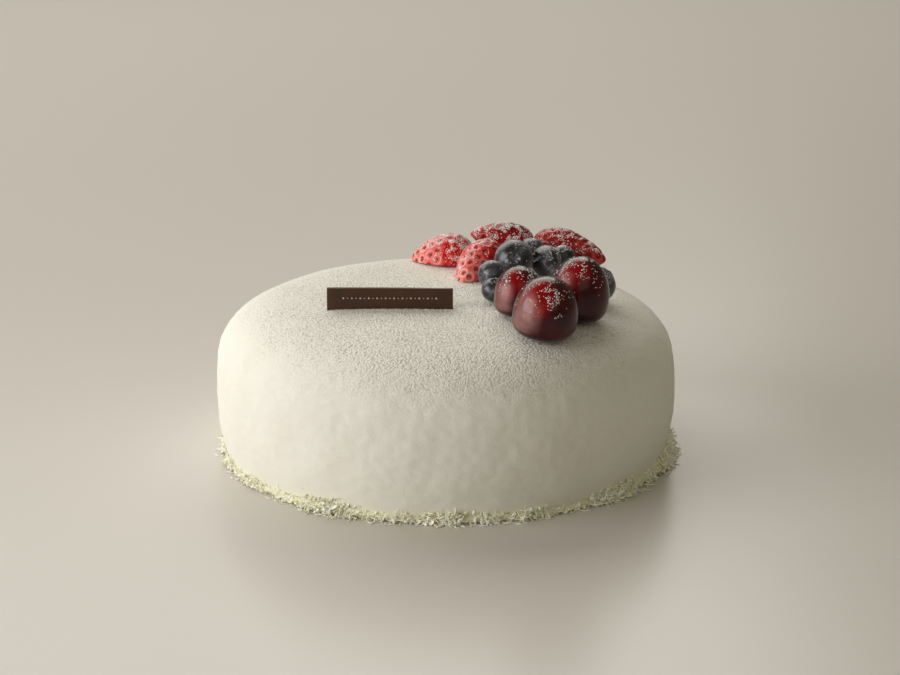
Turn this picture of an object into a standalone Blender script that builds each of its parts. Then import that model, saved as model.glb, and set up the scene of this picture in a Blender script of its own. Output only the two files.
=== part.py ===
# A round velvet-coated white cake with soft shoulders, about 18 cm across. A low ring of fine
# white shreds runs round its foot, a blank dark chocolate bar stands in its top, and three
# cherries, seven blueberries and four strawberry pieces lie along the right of the top.
# Metres, +Z up, origin at the middle of the flat underside, front of the cake towards -Y.

import math
import random

import bmesh
import bpy
from mathutils import Matrix, Vector

MM = 0.001

# Cake body
CAKE_RADIUS = 90.6 * MM
CAKE_HEIGHT = 62.7 * MM
WIDEST_HEIGHT = 27.2 * MM
FOOT_RADIUS = 86.8 * MM
SHOULDER_ACROSS = 4.4
SHOULDER_UP = 3.3
BELLY_POWER = 2.2
CAKE_STEPS = 64
SHOULDER_POINTS = 15
BELLY_POINTS = 4

# Ring of shreds round the foot; its outline is in shares of its reach and of its height
RING_TOP = 4.6 * MM
RING_REACH = 2.9 * MM
RING_OUTLINE = ((0.78, 0.72), (1.0, 0.32), (0.92, 0.0))
THICK_SIDE = math.radians(-12)
THICK_SPREAD = math.radians(38)

# The loose strips on the ring; a strip's root is in shares of the ring's reach and height
SHRED_COUNT = 150
SHRED_LENGTH = (3.0 * MM, 4.8 * MM)
SHRED_WIDTH = (0.55 * MM, 0.9 * MM)
SHRED_THICKNESS = 0.5 * MM
SHRED_TIP = (1.0, 0.45, 0.7)
SHRED_ROOT_REACH = (0.16, 0.6)
SHRED_ROOT_HEIGHT = (0.14, 0.62)
SHRED_SWING = 75
SHRED_PITCH = (-8, 48)
SHRED_SPACING = 0.3
SHRED_CLEARANCE = 0.08 * MM
THICK_LENGTHENING = 0.35
THICK_STEADYING = 0.5
SHRED_SEED = 11

# Bar of dark chocolate, stood in a slot
BAR_SIZE = (48.4 * MM, 1.6 * MM, 10.2 * MM)
BAR_PLACE = (-21.4 * MM, -21.4 * MM)
BAR_TOP = 70.7 * MM
BAR_EDGE = 0.15 * MM

# The clearance that keeps touching pieces apart
GAP = 0.3 * MM

# Cherries: name, x, y, width, height
CHERRIES = (
    ("cherry_front", 36.2, -50.4, 24.4, 22.9),
    ("cherry_right", 49.4, -30.4, 23.2, 24.4),
    ("cherry_left", 27.6, -29.6, 19.2, 18.6),
)
CHERRY_STEPS = 24
CHERRY_POINTS = 11
CHERRY_WIDEST = 0.35
CHERRY_TOP_POWER = 2.1
CHERRY_FOOT_POWER = 3.2
CHERRY_DIMPLE = 1.2 * MM
CHERRY_DIMPLE_REACH = 0.45

# Blueberries: x, y, height of the middle, radius, then the way that the crown faces
BLUEBERRIES = (
    (27.2, 18.6, 71.6, 7.9, (-0.05, -0.95, 0.28)),
    (40.2, 25.0, 69.2, 6.5, (-0.70, -0.55, 0.45)),
    (47.9, 33.8, 68.9, 4.8, (0.30, 0.20, 0.93)),
    (18.0, 6.0, 68.7, 5.8, (-0.80, -0.55, 0.25)),
    (18.6, -12.0, 67.4, 4.9, (0.10, -0.35, 0.93)),
    (59.2, -5.6, 68.1, 7.4, (0.55, 0.30, 0.78)),
    (34.8, 37.8, 69.7, 6.2, (-0.20, 0.35, 0.91)),
)
BLUEBERRY_STEPS = 18
BLUEBERRY_POINTS = 8
BLUEBERRY_FLATNESS = 0.92

# A blueberry's crown, in shares of the berry's radius
CROWN_RADIUS = 0.36
CROWN_DEPTH = 0.20
CROWN_LIP = 0.05
CROWN_FLOOR = 0.26
CROWN_FLOOR_RISE = 0.03
CROWN_LIP_RADIUS = 0.32
SKIN_START = 0.41

# Strawberry halves, cut face down: name, x and y of the broad end and of the tip, width, thickness
HALVES = (
    ("strawberry_1", (12.0, 48.0), (-14.6, 56.2), 22.8, 11.4),
    ("strawberry_2", (21.0, 41.0), (6.8, 14.9), 21.0, 13.6),
)
# Whole hulled strawberries: name, broad end, tip, width
WHOLES = (
    ("strawberry_3", (36.8, 62.8, 66.7), (10.2, 64.6, 70.6), 14.0),
    ("strawberry_4", (36.6, 54.0, 69.7), (65.2, 38.8, 66.0), 16.8),
)
STRAWBERRY_SEGMENTS = 22
STRAWBERRY_RINGS = 14
STRAWBERRY_BROAD_END = 0.70
STRAWBERRY_FULLNESS = 0.60
PIT_DEPTH = 0.35 * MM
CUT_LIFT = 0.01 * MM


def clear_scene():
    for obj in list(bpy.data.objects):
        bpy.data.objects.remove(obj, do_unlink=True)


def new_collection(name):
    collection = bpy.data.collections.new(name)
    bpy.context.scene.collection.children.link(collection)
    return collection


def new_material(name, colour, roughness, metallic=0.0):
    material = bpy.data.materials.new(name)
    material.use_nodes = True
    shader = material.node_tree.nodes["Principled BSDF"]
    shader.inputs["Base Color"].default_value = (*colour, 1.0)
    shader.inputs["Roughness"].default_value = roughness
    shader.inputs["Metallic"].default_value = metallic
    return material


def new_object(name, mesh, material, collection):
    obj = bpy.data.objects.new(name, mesh)
    mesh.materials.append(material)
    collection.objects.link(obj)
    return obj


def mesh_from(bm, name):
    mesh = bpy.data.meshes.new(name)
    bm.to_mesh(mesh)
    bm.free()
    return mesh


def turned(name, profile, steps, material, collection):
    """An object turned about Z from a profile of (radius, height) points, listed top to bottom."""
    mesh = bpy.data.meshes.new(name)
    points = [(radius, 0.0, height) for radius, height in profile]
    mesh.from_pydata(points, [(i, i + 1) for i in range(len(points) - 1)], [])
    obj = new_object(name, mesh, material, collection)
    screw = obj.modifiers.new("Turn", "SCREW")
    screw.axis = "Z"
    screw.steps = steps
    screw.render_steps = steps
    screw.use_merge_vertices = True
    screw.merge_threshold = 0.00001
    return obj


def apply_modifiers(obj):
    bpy.context.view_layer.update()
    graph = bpy.context.evaluated_depsgraph_get()
    mesh = bpy.data.meshes.new_from_object(obj.evaluated_get(graph))
    obj.modifiers.clear()
    bare = obj.data
    obj.data = mesh
    bpy.data.meshes.remove(bare)


def boolean(obj, operation, **operand):
    modifier = obj.modifiers.new(operation.title(), "BOOLEAN")
    modifier.operation = operation
    modifier.solver = "EXACT"
    for setting, value in operand.items():
        setattr(modifier, setting, value)
    apply_modifiers(obj)


def smooth(obj, angle=math.radians(40)):
    obj.data.shade_smooth()
    obj.data.set_sharp_from_angle(angle=angle)


def shoulder_height(radius):
    """Height of the cake's upper surface at this distance from its axis."""
    share = min(radius / CAKE_RADIUS, 1.0) ** (SHOULDER_ACROSS / 2)
    rise = math.sqrt(1.0 - share**2) ** (2 / SHOULDER_UP)
    return WIDEST_HEIGHT + (CAKE_HEIGHT - WIDEST_HEIGHT) * rise


def belly_radius(height):
    """Radius of the side below its widest height."""
    drop = (WIDEST_HEIGHT - height) / WIDEST_HEIGHT
    return FOOT_RADIUS + (CAKE_RADIUS - FOOT_RADIUS) * (1.0 - drop**BELLY_POWER)


def surface_frame(x, y, along=(1.0, 0.0), lift=GAP):
    """A frame on the cake's top at (x, y): Z along the surface's normal, X towards `along`."""
    radius = math.hypot(x, y)
    step = 0.5 * MM
    slope = (shoulder_height(radius + step) - shoulder_height(radius)) / step
    outward = Vector((x, y, 0.0)).normalized() if radius > step else Vector((1.0, 0.0, 0.0))
    normal = (Vector((0.0, 0.0, 1.0)) - slope * outward).normalized()
    place = Vector((x, y, shoulder_height(radius))) + normal * lift
    return frame_matrix(Vector((*along, 0.0)), normal, place)


def frame_matrix(along, up, place):
    """A frame at `place` whose Z is exactly `up` and whose X leans towards `along`."""
    z = up.normalized()
    y = z.cross(along).normalized()
    x = y.cross(z)
    turn = Matrix((x, y, z)).transposed()
    return Matrix.Translation(place) @ turn.to_4x4()


def cake_profile():
    """Top centre, over the shoulder, down the belly, round the ring of shreds, back underneath."""
    points = []
    for i in range(SHOULDER_POINTS):
        angle = math.pi / 2 * (1 - i / SHOULDER_POINTS)
        across = math.cos(angle) ** (2 / SHOULDER_ACROSS) if i else 0.0
        rise = math.sin(angle) ** (2 / SHOULDER_UP)
        height = WIDEST_HEIGHT + (CAKE_HEIGHT - WIDEST_HEIGHT) * rise
        points.append((CAKE_RADIUS * across, height))
    for i in range(BELLY_POINTS + 1):
        height = WIDEST_HEIGHT + (RING_TOP - WIDEST_HEIGHT) * i / BELLY_POINTS
        points.append((belly_radius(height), height))
    for reach, rise in RING_OUTLINE:
        points.append((FOOT_RADIUS + reach * RING_REACH, rise * RING_TOP))
    points.append((0.0, 0.0))
    return points


def shred_mesh(length, width, matrix):
    """One flat strip that narrows towards its free end."""
    bm = bmesh.new()
    bmesh.ops.create_cube(bm, size=1.0)
    bmesh.ops.scale(bm, vec=(length, width, SHRED_THICKNESS), verts=bm.verts)
    tip = [v for v in bm.verts if v.co.x > 0]
    bmesh.ops.scale(bm, vec=SHRED_TIP, verts=tip)
    bmesh.ops.translate(bm, vec=(length / 2, 0.0, 0.0), verts=bm.verts)
    bmesh.ops.transform(bm, matrix=matrix, verts=bm.verts)
    lowest = min(v.co.z for v in bm.verts)
    rise = max(SHRED_CLEARANCE - lowest, 0.0)
    bmesh.ops.translate(bm, vec=(0.0, 0.0, rise), verts=bm.verts)
    return mesh_from(bm, "shred")


def fuse_shreds(cake, material):
    """Joins the loose strips to the ring at the cake's foot, thicker towards the right."""
    draw = random.Random(SHRED_SEED)
    shreds = new_collection("shreds")
    for i in range(SHRED_COUNT):
        angle = 2 * math.pi * (i + draw.uniform(-SHRED_SPACING, SHRED_SPACING)) / SHRED_COUNT
        off_thick = (angle - THICK_SIDE + math.pi) % (2 * math.pi) - math.pi
        thick = math.exp(-((off_thick / THICK_SPREAD) ** 2))
        root_radius = FOOT_RADIUS + draw.uniform(*SHRED_ROOT_REACH) * RING_REACH
        root_height = draw.uniform(*SHRED_ROOT_HEIGHT) * RING_TOP
        length = draw.uniform(*SHRED_LENGTH) * (1.0 + THICK_LENGTHENING * thick)
        swing = draw.uniform(-SHRED_SWING, SHRED_SWING) * (1.0 - THICK_STEADYING * thick)
        pitch = draw.uniform(*SHRED_PITCH)
        spin = Matrix.Rotation(draw.uniform(-math.pi, math.pi), 4, "X")
        heading = Matrix.Rotation(angle + math.radians(swing), 4, "Z")
        lift = Matrix.Rotation(-math.radians(pitch), 4, "Y")
        root = (root_radius * math.cos(angle), root_radius * math.sin(angle), root_height)
        matrix = Matrix.Translation(root) @ heading @ lift @ spin
        mesh = shred_mesh(length, draw.uniform(*SHRED_WIDTH), matrix)
        new_object("shred", mesh, material, shreds)
    boolean(cake, "UNION", operand_type="COLLECTION", collection=shreds)
    for obj in list(shreds.objects):
        bpy.data.objects.remove(obj, do_unlink=True)
    bpy.data.collections.remove(shreds)


def make_box(name, size, place, material, collection):
    bm = bmesh.new()
    bmesh.ops.create_cube(bm, size=1.0)
    bmesh.ops.scale(bm, vec=size, verts=bm.verts)
    obj = new_object(name, mesh_from(bm, name), material, collection)
    obj.location = place
    return obj


def make_cake(parts, cutters):
    velvet = new_material("white_velvet", (0.86, 0.83, 0.74), 0.85)
    cake = turned("cake", cake_profile(), CAKE_STEPS, velvet, parts)
    apply_modifiers(cake)
    fuse_shreds(cake, velvet)
    slot_size = (BAR_SIZE[0] + 2 * GAP, BAR_SIZE[1] + 2 * GAP, BAR_SIZE[2] + GAP)
    slot_place = (*BAR_PLACE, BAR_TOP - BAR_SIZE[2] / 2 - GAP / 2)
    slot = make_box("slot", slot_size, slot_place, velvet, cutters)
    slot.hide_render = True
    slot.display_type = "WIRE"
    boolean(cake, "DIFFERENCE", object=slot)
    smooth(cake)


def make_bar(parts):
    chocolate = new_material("dark_chocolate", (0.045, 0.026, 0.016), 0.45)
    place = (*BAR_PLACE, BAR_TOP - BAR_SIZE[2] / 2)
    bar = make_box("chocolate_bar", BAR_SIZE, place, chocolate, parts)
    edge = bar.modifiers.new("Edge", "BEVEL")
    edge.width = BAR_EDGE
    edge.segments = 1


def cherry_profile(width, height):
    """A broad-footed round fruit, stem end down, with the hollow of its stem underneath."""
    points = []
    for i in range(CHERRY_POINTS + 1):
        angle = math.pi * i / CHERRY_POINTS
        upper = angle < math.pi / 2
        power = 2 / (CHERRY_TOP_POWER if upper else CHERRY_FOOT_POWER)
        radius = math.sin(angle) ** power if 0 < i < CHERRY_POINTS else 0.0
        rise = abs(math.cos(angle)) ** power
        level = CHERRY_WIDEST + ((1.0 - CHERRY_WIDEST) * rise if upper else -CHERRY_WIDEST * rise)
        hollow = 0.0 if upper else CHERRY_DIMPLE * max(0.0, 1.0 - radius / CHERRY_DIMPLE_REACH)
        points.append((width / 2 * radius, height * level + hollow))
    return points


def make_cherries(parts):
    skin = new_material("cherry_skin", (0.16, 0.006, 0.012), 0.22)
    for name, x, y, width, height in CHERRIES:
        profile = cherry_profile(width * MM, height * MM)
        cherry = turned(name, profile, CHERRY_STEPS, skin, parts)
        apply_modifiers(cherry)
        cherry.matrix_world = surface_frame(x * MM, y * MM)
        smooth(cherry)


def blueberry_profile(radius):
    """An oblate berry, its crown a shallow cup with a raised rim at the top."""
    half = radius * BLUEBERRY_FLATNESS
    rim_height = half * math.sqrt(1.0 - CROWN_RADIUS**2)
    floor_height = rim_height - radius * CROWN_DEPTH
    points = [(0.0, floor_height)]
    points.append((radius * CROWN_FLOOR, floor_height + radius * CROWN_FLOOR_RISE))
    points.append((radius * CROWN_LIP_RADIUS, rim_height + radius * CROWN_LIP))
    start = math.asin(SKIN_START)
    for i in range(BLUEBERRY_POINTS + 1):
        angle = start + (math.pi - start) * i / BLUEBERRY_POINTS
        points.append((radius * math.sin(angle), half * math.cos(angle)))
    points[-1] = (0.0, points[-1][1])
    return points


def make_blueberries(parts):
    skin = new_material("blueberry_skin", (0.028, 0.034, 0.055), 0.5)
    for number, (x, y, z, radius, crown) in enumerate(BLUEBERRIES, 1):
        profile = blueberry_profile(radius * MM)
        berry = turned(f"blueberry_{number}", profile, BLUEBERRY_STEPS, skin, parts)
        apply_modifiers(berry)
        place = Vector((x, y, z)) * MM
        berry.matrix_world = frame_matrix(Vector((0.3, 0.1, 0.0)), Vector(crown), place)
        smooth(berry)


def strawberry_form(length, width, height):
    """A bmesh of a strawberry lying along X, its tip at +X, its seeds' pits in staggered rows."""
    bm = bmesh.new()
    bmesh.ops.create_uvsphere(
        bm, u_segments=STRAWBERRY_SEGMENTS, v_segments=STRAWBERRY_RINGS, radius=1.0
    )
    bmesh.ops.rotate(bm, matrix=Matrix.Rotation(math.radians(90), 3, "Y"), verts=bm.verts)
    turn = 2 * math.pi / STRAWBERRY_SEGMENTS
    for vert in bm.verts:
        polar = math.acos(max(-1.0, min(1.0, -vert.co.x)))
        around = math.atan2(vert.co.z, vert.co.y)
        ring = round(polar / math.pi * STRAWBERRY_RINGS)
        column = round(around / turn)
        share = (1.0 - math.cos(polar)) / 2
        full = math.sin(math.pi * share**STRAWBERRY_BROAD_END)
        radius = max(full, 0.0) ** STRAWBERRY_FULLNESS
        pitted = 2 <= ring <= STRAWBERRY_RINGS - 2 and (ring + column) % 2 == 0
        inset = PIT_DEPTH if pitted else 0.0
        vert.co.x = length * (share - 0.5)
        vert.co.y = (width / 2 - inset) * radius * math.cos(around)
        vert.co.z = (height / 2 - inset) * radius * math.sin(around)
    bmesh.ops.recalc_face_normals(bm, faces=bm.faces)
    return bm


def make_strawberries(parts):
    flesh = new_material("strawberry_skin", (0.55, 0.035, 0.03), 0.35)
    for name, broad, tip, width, thickness in HALVES:
        start = Vector((*broad, 0.0)) * MM
        end = Vector((*tip, 0.0)) * MM
        middle = (start + end) / 2
        bm = strawberry_form((end - start).length, width * MM, 2 * thickness * MM)
        half = bmesh.ops.bisect_plane(
            bm,
            geom=bm.verts[:] + bm.edges[:] + bm.faces[:],
            plane_co=(0.0, 0.0, CUT_LIFT),
            plane_no=(0.0, 0.0, 1.0),
            clear_inner=True,
        )
        rim = [e for e in half["geom_cut"] if isinstance(e, bmesh.types.BMEdge)]
        bmesh.ops.contextual_create(bm, geom=rim)
        bmesh.ops.recalc_face_normals(bm, faces=bm.faces)
        berry = new_object(name, mesh_from(bm, name), flesh, parts)
        berry.matrix_world = surface_frame(middle.x, middle.y, (end - start).xy)
        smooth(berry)
    for name, broad, tip, width in WHOLES:
        start = Vector(broad) * MM
        end = Vector(tip) * MM
        along = end - start
        bm = strawberry_form(along.length, width * MM, width * MM)
        berry = new_object(name, mesh_from(bm, name), flesh, parts)
        up = Vector((0.0, 0.0, 1.0))
        up = up - up.project(along)
        berry.matrix_world = frame_matrix(along, up, (start + end) / 2)
        smooth(berry)


def main():
    clear_scene()
    parts = new_collection("velvet_cake")
    cutters = new_collection("cutters")
    make_cake(parts, cutters)
    make_bar(parts)
    make_cherries(parts)
    make_blueberries(parts)
    make_strawberries(parts)


main()
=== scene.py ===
import math

import bpy
import numpy as np
from mathutils import Matrix, Vector, noise


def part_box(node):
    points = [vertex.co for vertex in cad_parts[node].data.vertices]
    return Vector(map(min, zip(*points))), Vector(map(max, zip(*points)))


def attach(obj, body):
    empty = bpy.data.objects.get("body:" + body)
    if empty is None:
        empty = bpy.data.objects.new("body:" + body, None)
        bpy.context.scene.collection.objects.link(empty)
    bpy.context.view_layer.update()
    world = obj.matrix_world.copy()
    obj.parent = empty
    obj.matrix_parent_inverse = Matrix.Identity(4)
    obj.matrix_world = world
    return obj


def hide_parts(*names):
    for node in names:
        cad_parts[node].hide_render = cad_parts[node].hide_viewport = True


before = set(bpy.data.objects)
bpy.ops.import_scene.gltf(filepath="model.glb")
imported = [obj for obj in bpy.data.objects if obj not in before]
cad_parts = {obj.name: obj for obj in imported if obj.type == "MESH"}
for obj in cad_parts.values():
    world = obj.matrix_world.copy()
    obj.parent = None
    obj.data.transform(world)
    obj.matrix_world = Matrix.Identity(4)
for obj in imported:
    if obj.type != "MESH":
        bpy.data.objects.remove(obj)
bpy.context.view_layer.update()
mm = 0.001
sharpAngle = math.radians(35)  # an edge between faces that meet more steeply stays sharp
scene = bpy.context.scene


# Small helpers that every piece uses

def deselectAll():
    bpy.ops.object.select_all(action="DESELECT")


def addObject(name, data):
    holder = bpy.data.objects.new(name, data)
    scene.collection.objects.link(holder)
    return holder


def addPrimitive(name, operator, **options):
    deselectAll()
    operator(**options)
    piece = bpy.context.object
    piece.name = piece.data.name = name
    return piece


def addSphere(name, segments, rings):
    sphere = bpy.ops.mesh.primitive_uv_sphere_add
    return addPrimitive(name, sphere, segments=segments, ring_count=rings, radius=1)


def readPoints(piece, what="co"):
    flat = np.empty(len(piece.data.vertices) * 3)
    piece.data.vertices.foreach_get(what, flat)
    return flat.reshape(-1, 3)


def writePoints(piece, points):
    piece.data.vertices.foreach_set("co", np.asarray(points, dtype=np.float32).ravel())
    piece.data.update()


def readNormals(piece):
    return readPoints(piece, "normal")


def setNumbers(piece, name, values):
    layer = piece.data.attributes.new(name, "FLOAT", "POINT")
    layer.data.foreach_set("value", np.asarray(values, dtype=np.float32))


def applyModifier(piece, kind, **settings):
    modifier = piece.modifiers.new(kind.title(), kind)
    for setting, value in settings.items():
        setattr(modifier, setting, value)
    bpy.context.view_layer.objects.active = piece
    bpy.ops.object.modifier_apply(modifier=modifier.name)


def editMesh(piece, operator, **options):
    # runs one operator in edit mode with the whole mesh selected
    deselectAll()
    piece.select_set(True)
    bpy.context.view_layer.objects.active = piece
    bpy.ops.object.mode_set(mode="EDIT")
    bpy.ops.mesh.select_all(action="SELECT")
    operator(**options)
    bpy.ops.object.mode_set(mode="OBJECT")
    deselectAll()


def finishPiece(piece, surface, slot, *nodes):
    piece.data.materials.clear()
    piece.data.materials.append(surface)
    piece.data.shade_smooth()
    piece.data.set_sharp_from_angle(angle=sharpAngle)
    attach(piece, "root")
    if nodes:
        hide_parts(*nodes)


def smoothStep(value, low, high):
    share = np.clip((value - low) / (high - low), 0, 1)
    return share * share * (3 - 2 * share)


def softNoise(points, size, shift=0.0):
    # smooth noise from -1 to 1 with lumps of this size; each shift gives another pattern
    offset = Vector((shift, 1.7 * shift, -shift))
    return np.array([noise.noise(Vector(p) / size + offset) for p in points])


def onCircle(angles):
    return np.c_[np.cos(angles), np.sin(angles), np.zeros(len(angles))]


def runAlong(points):
    # how far along the line through the points each of them lies
    return np.r_[0, np.cumsum(np.linalg.norm(np.diff(points, axis=0), axis=1))]


def joinCopies(name, template, matrices):
    # one mesh with a copy of the template for every matrix, and the copy's number for each of its points
    base = readPoints(template)
    faces = [list(face.vertices) for face in template.data.polygons]
    points = np.einsum("nij,vj->nvi", matrices, np.c_[base, np.ones(len(base))])[:, :, :3].reshape(-1, 3)
    copies = np.arange(len(matrices))
    corners = (np.concatenate(faces) + len(base) * copies[:, None]).ravel()
    sizes = np.tile([len(face) for face in faces], len(matrices))
    mesh = bpy.data.meshes.new(name)
    mesh.vertices.add(len(points))
    mesh.vertices.foreach_set("co", points.astype(np.float32).ravel())
    mesh.loops.add(len(corners))
    mesh.loops.foreach_set("vertex_index", corners.astype(np.int32))
    mesh.polygons.add(len(sizes))
    mesh.polygons.foreach_set("loop_start", (np.cumsum(sizes) - sizes).astype(np.int32))
    mesh.update(calc_edges=True)
    bpy.data.objects.remove(template)
    return addObject(name, mesh), np.repeat(copies, len(base))


def frameMatrices(places, axes, sizes):
    # 4 x 4 matrices from places, three axes each and the sizes along them
    matrices = np.zeros((len(places), 4, 4))
    for column, (axis, size) in enumerate(zip(axes, sizes.T)):
        matrices[:, :3, column] = axis * size[:, None]
    matrices[:, :3, 3] = places
    matrices[:, 3, 3] = 1
    return matrices


def placeMatrices(places, ups, turns, sizes):
    # the same with Z along ups and turned about it
    ups = ups / np.linalg.norm(ups, axis=1)[:, None]
    helper = np.where(np.abs(ups[:, 2:]) > 0.9, [[1.0, 0, 0]], [[0, 0, 1.0]])
    side = np.cross(helper, ups)
    side /= np.linalg.norm(side, axis=1)[:, None]
    front = np.cross(ups, side)
    cosine, sine = np.cos(turns)[:, None], np.sin(turns)[:, None]
    axes = cosine * side + sine * front, cosine * front - sine * side, ups
    return frameMatrices(places, axes, sizes)


# Shader maths as Python expressions

class Value:
    def __init__(self, tree, socket):
        self.tree, self.socket = tree, socket

    def combine(self, operation, first, second):
        node = self.tree.nodes.new("ShaderNodeMath")
        node.operation = operation
        for slot, item in zip(node.inputs, (first, second)):
            if isinstance(item, Value):
                self.tree.links.new(item.socket, slot)
            else:
                slot.default_value = item
        return Value(self.tree, node.outputs[0])

    def __add__(self, other):
        return self.combine("ADD", self, other)

    def __sub__(self, other):
        return self.combine("SUBTRACT", self, other)

    def __rsub__(self, other):
        return self.combine("SUBTRACT", other, self)

    def __mul__(self, other):
        return self.combine("MULTIPLY", self, other)

    __radd__, __rmul__ = __add__, __mul__


class Surface:
    def __init__(self, name, constants):
        self.material = bpy.data.materials.new(name)
        self.material.use_nodes = True
        self.tree = self.material.node_tree
        self.shader = self.tree.nodes["Principled BSDF"]
        for socket, value in constants.items():
            self.shader.inputs[socket].default_value = value

    def node(self, kind, sockets, output=0, **settings):
        made = self.tree.nodes.new("ShaderNode" + kind)
        for setting, value in settings.items():
            if setting == "stops":
                self.setStops(made.color_ramp, value)
            else:
                setattr(made, setting, value)
        for socket, value in sockets.items():
            self.feed(made.inputs[socket], value)
        return Value(self.tree, made.outputs[output])

    def setStops(self, ramp, stops):
        while len(ramp.elements) < len(stops):
            ramp.elements.new(0.5)
        for element, (place, colour) in zip(ramp.elements, stops):
            element.position = place
            element.color = opaque(colour)

    def feed(self, socket, value):
        if isinstance(value, Value):
            self.tree.links.new(value.socket, socket)
        else:
            socket.default_value = value

    def shade(self, sockets):
        for socket, value in sockets.items():
            self.feed(self.shader.inputs[socket], value)
        return self.material

    def coordinates(self):
        return self.node("TexCoord", {}, "Object")

    def attribute(self, name):
        return self.node("Attribute", {}, "Fac", attribute_name=name)

    def grain(self, size, detail=2.0, roughness=0.5):
        # noise whose lumps are about this many metres across
        sockets = {"Vector": self.coordinates(), "Scale": 1 / size, "Detail": detail, "Roughness": roughness}
        return self.node("TexNoise", sockets)

    def pebbles(self, size):
        # the distance to the nearest of many points that are about this many metres apart
        return self.node("TexVoronoi", {"Vector": self.coordinates(), "Scale": 1 / size})

    def ramp(self, factor, stops):
        return self.node("ValToRGB", {"Fac": factor}, stops=stops)

    def mix(self, factor, first, second):
        sockets = {0: factor, 6: opaque(first), 7: opaque(second)}
        return self.node("Mix", sockets, 2, data_type="RGBA")

    def clamp(self, value):
        return self.node("Clamp", {"Value": value})

    def bump(self, height, distance):
        return self.node("Bump", {"Height": height, "Distance": distance})


def linear(red, green, blue):
    # an on-screen colour from 0 to 255 as the shader's linear value
    shares = [c / 255 for c in (red, green, blue)]
    return tuple(s / 12.92 if s < 0.04045 else ((s + 0.055) / 1.055) ** 2.4 for s in shares)


def opaque(colour):
    return colour if isinstance(colour, Value) else (*colour, 1)


# Camera and light, placed first because every look is judged through them

camera = {
    "aim": (1.7, 0.0, 44.4),  # mm
    "elevation": 16.76,  # degrees
    "distance": 900.0,  # mm
    "focalPixels": 2274.0,  # focal length in pixels of a 900 pixel wide picture
    "pictureWidth": 900,
    "roll": 0.2,  # degrees
    "sensorWidth": 36.0,  # mm
    "clip": (0.05, 60.0),  # m
}


def makeCamera():
    lens = bpy.data.cameras.new("photoCamera")
    lens.sensor_width = camera["sensorWidth"]
    lens.lens = lens.sensor_width * camera["focalPixels"] / camera["pictureWidth"]
    lens.clip_start, lens.clip_end = camera["clip"]
    holder = addObject("photoCamera", lens)
    tilt = math.radians(camera["elevation"])
    back = Vector((0, -math.cos(tilt), math.sin(tilt)))
    aim = Vector(camera["aim"]) * mm
    holder.location = aim + back * camera["distance"] * mm
    turn = (-back).to_track_quat("-Z", "Y").to_matrix().to_4x4()
    turn = turn @ Matrix.Rotation(math.radians(camera["roll"]), 4, "Z")
    holder.rotation_euler = turn.to_euler()
    scene.camera = holder


studio = {
    "lights": {  # place and size in m, power in W, colour
        "keyLight": ((-1.405, -0.545, 0.52), (1.3, 1.0), 18.6, (1.0, 0.985, 0.965)),
        "backLight": ((-0.55, 1.25, 1.15), (2.4, 1.2), 22.5, (1.0, 0.975, 0.92)),
        "fillLight": ((0.5, -1.6, 1.1), (1.4, 1.4), 2.8, (1.0, 0.95, 0.80)),
    },
    "roomColour": (1.0, 0.925, 0.70),
    "roomStrength": 0.17,
    "floorSize": 16.0,  # m
    "floorRoughness": 0.3,
    "nearFloor": (208, 202, 195),
    "farFloor": (214, 209, 203),
    "farAway": 2.0,  # m from near to far
    "nearBy": 0.15,  # share of that over which the near colour stays
    "cloudSize": 0.3,  # m
    "cloudStrength": 0.12,
}


def makeLight(name, place, size, power, colour):
    lamp = bpy.data.lights.new(name, "AREA")
    lamp.shape = "RECTANGLE"
    lamp.size, lamp.size_y = size
    lamp.energy = power
    lamp.color = colour
    holder = addObject(name, lamp)
    holder.location = place
    aim = Vector(camera["aim"]) * mm - Vector(place)
    holder.rotation_euler = aim.to_track_quat("-Z", "Y").to_euler()


def makeStudio():
    scene.view_settings.view_transform = "Standard"
    for name, light in studio["lights"].items():
        makeLight(name, *light)
    world = bpy.data.worlds.new("room")
    world.use_nodes = True
    background = world.node_tree.nodes["Background"]
    background.inputs["Color"].default_value = opaque(studio["roomColour"])
    background.inputs["Strength"].default_value = studio["roomStrength"]
    scene.world = world
    floor = addPrimitive("floor", bpy.ops.mesh.primitive_plane_add, size=studio["floorSize"])
    look = Surface("paleFloor", {"Roughness": studio["floorRoughness"]})
    away = look.node("VectorMath", {0: look.coordinates()}, 1, operation="LENGTH")
    share = look.clamp(away * (1 / studio["farAway"]) - studio["nearBy"])
    cloudy = look.grain(studio["cloudSize"], 3.0) * studio["cloudStrength"]
    colour = look.mix(share + cloudy, linear(*studio["nearFloor"]), linear(*studio["farFloor"]))
    floor.data.materials.append(look.shade({"Base Color": colour}))


# The cake's body

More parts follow.
